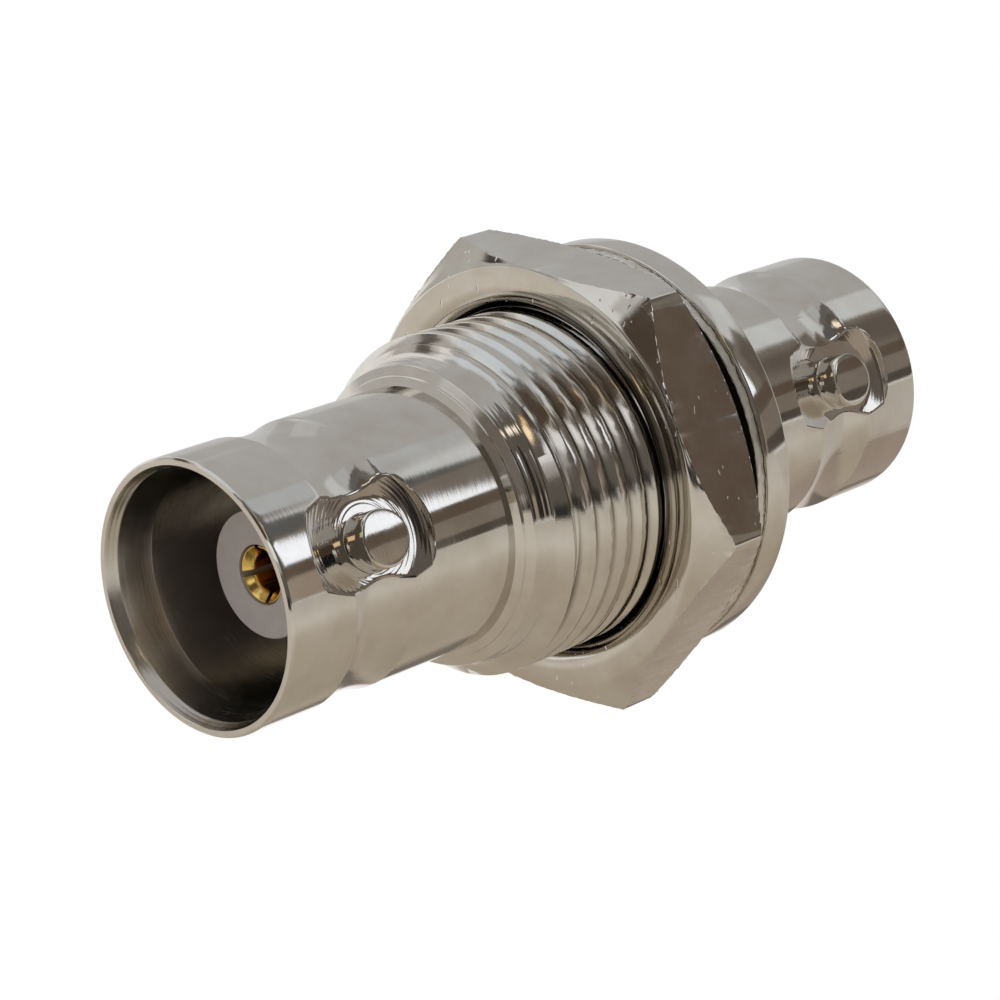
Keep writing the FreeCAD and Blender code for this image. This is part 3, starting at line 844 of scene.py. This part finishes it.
def nut_outline(flat, chamfer, burr):
    """One column's points as (depth from the face, radius): hole, countersink, face, cone and flat."""
    points = [
        (COUNTERSINK_DEPTH + 0.03, NUT_HOLE), (COUNTERSINK_DEPTH, NUT_HOLE + 0.02),
        (0.03, NUT_MOUTH - 0.02), (0.0, NUT_MOUTH + 0.02), (0.0, 7.3),
        (0.0, FACE_RADIUS - 0.06), (0.006, FACE_RADIUS - 0.02),
    ]
    for share in (0.12, 0.4, 0.75, 0.97):
        points.append((chamfer * share, FACE_RADIUS + (flat - FACE_RADIUS) * share))
    edge = min(0.02, chamfer * 0.3)
    return points + [
        (chamfer, flat + burr - 0.004), (chamfer + edge, flat + 0.3 * burr), (chamfer + 2.5 * edge, flat),
    ]


def nut_sheet():
    turn = nut_columns()
    local = (turn + 30) % 60 - 30
    flats = FLAT_DISTANCE / np.cos(np.radians(local))
    corner = np.exp(-(CORNER_RADIUS - 0.03) / CORNER_EDGE)
    flats = -CORNER_EDGE * np.log(np.exp(-flats / CORNER_EDGE) + corner)
    slope = (CORNER_RADIUS - FACE_RADIUS) / CHAMFER_LENGTH
    chamfers = np.maximum((flats - FACE_RADIUS) / slope, 0.01)
    burrs = NUT_BURR * random_source.random(len(turn)) ** 2
    columns = []
    for flat, chamfer, burr in zip(flats, chamfers, burrs):
        half = nut_outline(flat, chamfer, burr)
        front = [(NUT_FACE + depth, radius) for depth, radius in half]
        back = [(NUT_BACK - depth, radius) for depth, radius in half[::-1]]
        columns.append(front + back + [front[0]])
    outline = np.array(columns)
    angle = np.radians(turn + 120 + NUT_CLOCKING)[:, None]
    sheet = around(outline[..., 0], outline[..., 1], angle)
    return np.concatenate([sheet, sheet[:1]])


build_piece("panel_nut_plated", [(nut_nickel, [nut_sheet()])], "nut", "panel_nut")

# %% [markdown]
# The lock washer is stamped from thin sheet. Its closed rim shows as a rough bright line between
# nut and flange; its inner teeth are twisted, so their edges bite both neighbours.

# %% Lock washer
WASHER_FRONT, WASHER_BACK = -0.40, -0.03
WASHER_RADIUS, BAND_BORE, RIM_BORE, TOOTH_TIP = 7.8, 7.70, 7.05, 6.45
TORN_DEPTH = 0.06
TOOTH_HALF_WIDTH, TOOTH_TWIST, TEETH = 0.65, 22.5, 12
TOOTH_ROOT = RIM_BORE + 0.12
TOOTH_SINK = 0.31  # a tooth leans this far toward the nut
BEND_RATE = 2.2  # twist and lean are complete at 1/2.2 of a tooth's length


def washer_band():
    """The sheared outer edge, which shows between nut and flange."""
    outline = np.array([
        (WASHER_FRONT, BAND_BORE), (WASHER_FRONT, WASHER_RADIUS - 0.04),
        (WASHER_FRONT + 0.03, WASHER_RADIUS - 0.01), (WASHER_FRONT + 0.1, WASHER_RADIUS),
        (WASHER_FRONT + 0.2, WASHER_RADIUS), (WASHER_BACK - 0.06, WASHER_RADIUS),
        (WASHER_BACK - 0.015, WASHER_RADIUS - 0.01), (WASHER_BACK, WASHER_RADIUS - 0.04),
        (WASHER_BACK, BAND_BORE),
    ])
    sheet = turned(outline)
    torn = TORN_DEPTH * random_source.random((len(outline) - 2, COLUMNS))
    torn = np.concatenate([torn, torn[:, :1]], 1)
    sheet[1:-1, :, 1:] *= (1 - torn / WASHER_RADIUS)[..., None]
    return sheet


def washer_ring():
    """The flat ring that carries the teeth."""
    return turned(rounded([
        (WASHER_BACK, BAND_BORE, 0), (WASHER_BACK, RIM_BORE, 0.05), (WASHER_FRONT, RIM_BORE, 0.05),
        (WASHER_FRONT, BAND_BORE, 0),
    ]))


def washer_tooth(index):
    """Sections from the ring inward, each turned and sunk a little more than the last."""
    half_thick = (WASHER_BACK - WASHER_FRONT) / 2
    middle = (WASHER_BACK + WASHER_FRONT) / 2
    corners = rounded([
        (0.0, -TOOTH_HALF_WIDTH, 0), (half_thick, -TOOTH_HALF_WIDTH, 0.06),
        (half_thick, TOOTH_HALF_WIDTH, 0.06), (-half_thick, TOOTH_HALF_WIDTH, 0.06),
        (-half_thick, -TOOTH_HALF_WIDTH, 0.06), (0.0, -TOOTH_HALF_WIDTH, 0),
    ], 2)
    turn = math.radians(360 / TEETH * index + NUT_CLOCKING)
    sections = []
    for share in np.linspace(0, 1, 9):
        bend = min(1, share * BEND_RATE)
        twist = math.radians(TOOTH_TWIST * bend)
        radius = TOOTH_ROOT + share * (TOOTH_TIP - TOOTH_ROOT)
        along = middle - TOOTH_SINK * bend + corners[:, 0] * math.cos(twist) - corners[:, 1] * math.sin(twist)
        side = corners[:, 0] * math.sin(twist) + corners[:, 1] * math.cos(twist)
        sections.append(np.stack([
            along, side * math.cos(turn) - radius * math.sin(turn),
            side * math.sin(turn) + radius * math.cos(turn),
        ], 1))
    sections = np.array(sections)
    ends = [np.repeat(section.mean(0)[None], len(section), 0) for section in (sections[0], sections[-1])]
    return np.concatenate([ends[0][None], sections, ends[1][None]])


build_piece("lock_washer_plated", [
    (rough_nickel, [washer_band()]),
    (shaded_steel, [washer_ring()] + [washer_tooth(index) for index in range(TEETH)]),
], "washer", "lock_washer")

# %% [markdown]
# The camera stands where the photographer's did: it was solved from the ellipses of the two jack
# barrels, and it looks down by 20 degrees without any roll.

# %% Camera
CAMERA_PLACE = Vector((-81.664, -71.858, 37.821))  # mm
VIEW_DIRECTION = Vector((0.68239, 0.64527, -0.34347))
SENSOR_WIDTH, FOCAL_LENGTH = 36, 110.404  # mm
camera_data = bpy.data.cameras.new("product_camera")
camera_data.sensor_width = SENSOR_WIDTH
camera_data.lens = FOCAL_LENGTH
camera_data.clip_start = 0.005
camera_data.clip_end = 20
camera = add_object("product_camera", camera_data)
camera.location = CAMERA_PLACE * MM
camera.rotation_mode = "QUATERNION"
camera.rotation_quaternion = VIEW_DIRECTION.to_track_quat("-Z", "Y")
bpy.context.scene.camera = camera
print("camera at", [round(c) for c in CAMERA_PLACE], "mm")


# %% [markdown]
# Polished metal has hardly any colour of its own: it shows the room it stands in. So most of this
# picture is made by what surrounds the part. The background is the world, white at strength 1 for
# the camera and for mirrored rays, and a plain soft white for everything matte.

# %% White room
world = bpy.data.worlds.new("white_room")
bpy.context.scene.world = world
world.use_nodes = True
sky = world.node_tree
sky.nodes.clear()
ray = add_node(sky, "LightPath").outputs
camera_or_glossy = number(sky, "MAXIMUM", ray["Is Camera Ray"], ray["Is Glossy Ray"])
seen = number(sky, "MAXIMUM", camera_or_glossy, ray["Is Transmission Ray"])
room_light = add_node(sky, "Background", {"Color": linear("#FFFFFF"), "Strength": 0.85})
backdrop = add_node(sky, "Background", {"Color": linear("#FFFFFF"), "Strength": 1.0})
world_mix = add_node(sky, "MixShader", {0: seen, 1: room_light, 2: backdrop})
add_node(sky, "OutputWorld", {"Surface": world_mix})
print("world:", world.name)

# %% [markdown]
# The table is plain pale paper under the part. It is matte, so it lights the underside of the
# metal with its own warm tone and takes a soft shadow. Near the part its colour is darker and
# browner, which is painted shade of the part. It fades into the white room behind the part and at
# its far edges, as paper does in an overexposed studio picture.

# %% Table
TABLE_LEVEL = -42.0
TABLE_REACH = 1500.0
FAR_FADE_START = 900.0
# Painted shade: nearer than NEAR_PAPER to the middle the paper takes its darker near tone.
NEAR_PAPER, FAR_PAPER = 60.0, 160.0  # the paper turns from its near tone to its far tone between them
VIEW_HEADING = Vector((0.7266, 0.6870, 0.0))  # the view's direction, level
PAPER_END = (18.0, 32.0)  # mm behind the part's middle where the paper starts and ends to fade


def grid_faces(rows, columns):
    """Four-sided faces over a grid of points that are listed row by row."""
    return [(r * columns + c, r * columns + c + 1, (r + 1) * columns + c + 1, (r + 1) * columns + c)
            for r in range(rows - 1) for c in range(columns - 1)]


def paper_tone(tree, place, far):
    """The paper's colour: a darker, browner near tone, which is painted shade of the part, and a paler far
    tone, with a faint speckle of fibres.
    """
    near = ranged(tree, far.outputs["Value"], NEAR_PAPER * MM, FAR_PAPER * MM,
                  interpolation_type="SMOOTHSTEP")
    tone = add_node(tree, "ValToRGB", {"Fac": near})
    tone.color_ramp.elements[0].color = linear("#BBB0A0")
    tone.color_ramp.elements[1].color = linear("#DCD6CD")
    speckle = ranged(tree, noise(tree, place, 3 * MM, 5.0), to=(0.97, 1.03))
    return add_node(tree, "VectorMath", {0: tone, "Scale": speckle}, operation="SCALE")


def table_paper():
    paper, tree = new_material("matte_table_paper")
    place = add_node(tree, "TexCoord").outputs["Object"]
    behind = vector(tree, "DOT_PRODUCT", place, VIEW_HEADING)
    start, end = PAPER_END
    fade = ranged(tree, behind.outputs["Value"], start * MM, end * MM, interpolation_type="SMOOTHSTEP")
    far = vector(tree, "LENGTH", place)
    far_fade = ranged(tree, far.outputs["Value"], FAR_FADE_START * MM, TABLE_REACH * MM)
    either = number(tree, "MAXIMUM", fade, far_fade)
    matte = add_node(tree, "BsdfPrincipled", {
        "Base Color": paper_tone(tree, place, far), "Roughness": 0.9, "Specular IOR Level": 0.1,
    })
    clear = add_node(tree, "BsdfTransparent")
    blend = add_node(tree, "MixShader", {0: either, 1: matte, 2: clear})
    add_node(tree, "OutputMaterial", {"Surface": blend})
    return paper


def make_table():
    backward = [-TABLE_REACH, -900, -500, -250, -120, -60, -20, 0, *PAPER_END]
    sideward = [-TABLE_REACH, -900, -400, -150, 0, 150, 400, 900, TABLE_REACH]
    sideways = Vector((VIEW_HEADING.y, -VIEW_HEADING.x, 0))
    points = [(VIEW_HEADING * back + sideways * side + Vector((0, 0, TABLE_LEVEL))) * MM
              for back in backward for side in sideward]
    mesh = bpy.data.meshes.new("table")
    mesh.from_pydata(points, [], grid_faces(len(backward), len(sideward)))
    mesh.materials.append(table_paper())
    table = add_object("table", mesh)
    print("table:", len(mesh.polygons), "faces")


make_table()

# %% [markdown]
# Round the part stand studio cards: pale ones for ceiling and walls, dark ones beside them, and one
# bright narrow window. Each is a patch of a large sphere, given by compass direction, height angle
# and colour, with soft borders. They are placed after what the polished barrel of a real adapter
# shows in an ordinary room. The camera doesn't see them, and they don't light matte surfaces.

# %% Studio cards
def card_material(name, colour, strength):
    """A plain glow, clear where the mesh's cover is 0."""
    material, tree = new_material(name + "_card")
    material.cycles.emission_sampling = "NONE"
    edge = add_node(tree, "Attribute", attribute_name="cover")
    clear = add_node(tree, "BsdfTransparent")
    glow = add_node(tree, "Emission", {"Color": linear(colour), "Strength": strength})
    blend = add_node(tree, "MixShader", {0: edge.outputs["Fac"], 1: clear, 2: glow})
    add_node(tree, "OutputMaterial", {"Surface": blend})
    return material


def card_stops(low, high, soft):
    """Angles across a card: its two borders, and between them steps of 8 degrees or less."""
    inner = np.linspace(low + soft, high - soft, max(2, int((high - low) / 8) + 1))
    return np.concatenate([[low], inner, [high]])


def studio_card(name, azimuths, elevations, colour, soft, distance, strength=1.0, lean=0):
    """azimuth 0 is toward -Y and 90 toward +X, soft is the width of the faded border, lean shifts the
    top sideways; all in degrees. distance is in mm."""
    sides, heights = card_stops(*azimuths, soft), card_stops(*elevations, soft)
    last_row, last_column = len(heights) - 1, len(sides) - 1
    points, cover = [], []
    for row, height in enumerate(heights):
        for column, side in enumerate(sides):
            turn = math.radians(side + lean * (row / last_row))
            rise = math.radians(height)
            points.append(Vector((
                math.sin(turn) * math.cos(rise), -math.cos(turn) * math.cos(rise), math.sin(rise),
            )) * distance * MM)
            inside = 0 < row < last_row and 0 < column < last_column
            cover.append(1.0 if inside else 0.0)
    mesh = bpy.data.meshes.new(name)
    mesh.from_pydata(points, [], grid_faces(len(heights), len(sides)))
    mesh.attributes.new("cover", "FLOAT", "POINT").data.foreach_set("value", cover)
    mesh.materials.append(card_material(name, colour, strength))
    card = add_object(name, mesh)
    card.visible_camera = card.visible_diffuse = card.visible_shadow = False


STUDIO = [
    # name, azimuths, elevations, colour, soft, distance; strength and lean where they aren't 1 and 0
    ("ceiling", (-180, 180), (50, 89.9), "#C0C0C0", 2.0, 2400),
    ("right_wall", (62, 152), (-3, 60), "#C0C0C0", 3.0, 2300),
    ("front_wall", (-60, 64), (-3, 66), "#68625C", 4.0, 2300),
    ("left_wall", (-112, -58), (-9, 60), "#7D766F", 4.0, 2290),
    ("back_left_wall", (-180, -104), (0, 45), "#C7C5C2", 4.0, 2280),
    ("back_left_ceiling", (-156, -88), (44, 64), "#E4EDF7", 3.0, 2270),
    ("back_left_tip", (-92, -74), (53.5, 59.5), "#C2C4C6", 2.0, 2110),
    ("back_left_light", (-126, -92), (20, 48), "#F4F7FA", 4.0, 2260),
    ("dark_spot_back", (-175, -153), (28, 40), "#69645F", 3.0, 2255),
    ("dark_spot_back_low", (-163, -153), (23.5, 31), "#45413D", 1.5, 2250),
    ("grey_back", (-143, -129), (28, 45), "#A6A39F", 3.0, 2255),
    ("pale_patch", (60, 94), (33, 47), "#DEE2E6", 3.0, 2250),
    ("blue_patch", (64, 90), (46, 60), "#C9CED4", 3.0, 2240),
    ("behind_right", (136, 152), (22, 46), "#CFD0D1", 3.0, 2235),
    ("behind_right_low", (126, 152), (-19, 8), "#CDCDCD", 3.0, 2232),
    ("far_paper", (38, 128), (-32, -2), "#CBC4BD", 2.0, 2340),
    ("far_paper_low", (38, 132), (-64, -29), "#AB9D91", 3.0, 2330),
    ("far_paper_dark", (108, 130), (-54, -32), "#7E766E", 3.0, 2320),
    ("brown_panel", (46, 74), (19, 39), "#837C74", 2.0, 2230),
    ("brown_panel_low", (62, 97), (14, 31), "#7C756D", 3.0, 2225, 1.0, -14),
    ("brown_panel_dark", (56, 72), (19, 36), "#6C645C", 3.0, 2220),
    ("dark_upper_left", (40, 66), (59.5, 67), "#7C7A78", 2.0, 2216),
    ("dark_upper", (52, 66), (46, 67), "#757270", 2.0, 2215, 1.0, 14),
    ("dark_top", (43, 60), (37, 52), "#696969", 2.0, 2210, 1.0, 7),
    ("sill", (30, 62), (3, 15), "#8A8077", 1.5, 2200),
    ("sill_left", (28, 42), (-2, 14), "#AA9C8E", 2.0, 2190),
    ("table_gap", (40, 58), (-2.5, 4), "#5A534C", 1.0, 2180),
    ("dark_gap", (13, 24.5), (0, 48), "#2E2C2A", 1.5, 2175),
    ("curtain_foot", (34, 62), (13.5, 20.5), "#6A5C52", 1.0, 2170, 1.0, -3),
    ("window", (38.5, 48), (21, 37), "#EEF4FF", 1.0, 2160, 1.6, 3),
    ("upper_lamp", (28, 42), (52.5, 60), "#FFF6EC", 2.0, 2150, 1.5),
    ("upper_lamp_right", (37, 51), (49.5, 56), "#FFF2E2", 2.0, 2149, 1.4),
    ("dark_band_left", (-104, -76), (48, 53.5), "#6C6762", 2.0, 2140),
    ("dark_warm_left", (-103, -66), (22, 47), "#564A40", 2.5, 2130, 1.0, 13),
    ("bright_tip", (-101, -81), (38.5, 44), "#D5D6D6", 2.0, 2128),
    ("grey_left_top", (-86, -56), (46, 64), "#77716B", 3.0, 2120),
    ("warm_gleam", (-63, -52), (45.5, 53), "#FFD59C", 2.0, 2110, 1.2),
    ("warm_lamp", (-53, -34), (41, 53), "#FFE6C0", 2.0, 2108, 1.5),
    ("lens", (-84, -59), (-7, 23), "#232425", 1.5, 330),
    ("lens_foot", (-60, -40), (-6.5, 2), "#333231", 1.5, 326),
    ("flash_fill", (-67, -50), (20, 32), "#F7F8FA", 1.5, 322, 1.1),
    ("flash_fill_low", (-64, -50), (13, 22), "#B5B2AF", 2.0, 324),
]
for card in STUDIO:
    studio_card(*card)
print("studio cards:", len(STUDIO))

# %% [markdown]
# One wide soft lamp overhead gives the matte pieces and the table their shading. With the plain
# white of the room it adds up to a level at which a colour renders about as it is written.

# %% Soft overhead lamp
LAMP_PLACE = Vector((-90, 40, 330))  # mm
LAMP_SIZE = 300 * MM
LAMP_POWER = 0.35  # watts
lamp_data = bpy.data.lights.new("soft_overhead", "AREA")
lamp_data.shape = "DISK"
lamp_data.size = LAMP_SIZE
lamp_data.energy = LAMP_POWER
lamp = add_object("soft_overhead", lamp_data)
lamp.location = LAMP_PLACE * MM
lamp.rotation_mode = "QUATERNION"
lamp.rotation_quaternion = (-lamp.location).to_track_quat("-Z", "Y")
lamp.visible_glossy = False
print("lamp:", LAMP_POWER, "W")

# %% [markdown]
# Colours are shown as they are written.

# %% Picture settings
bpy.context.scene.view_settings.view_transform = "Standard"
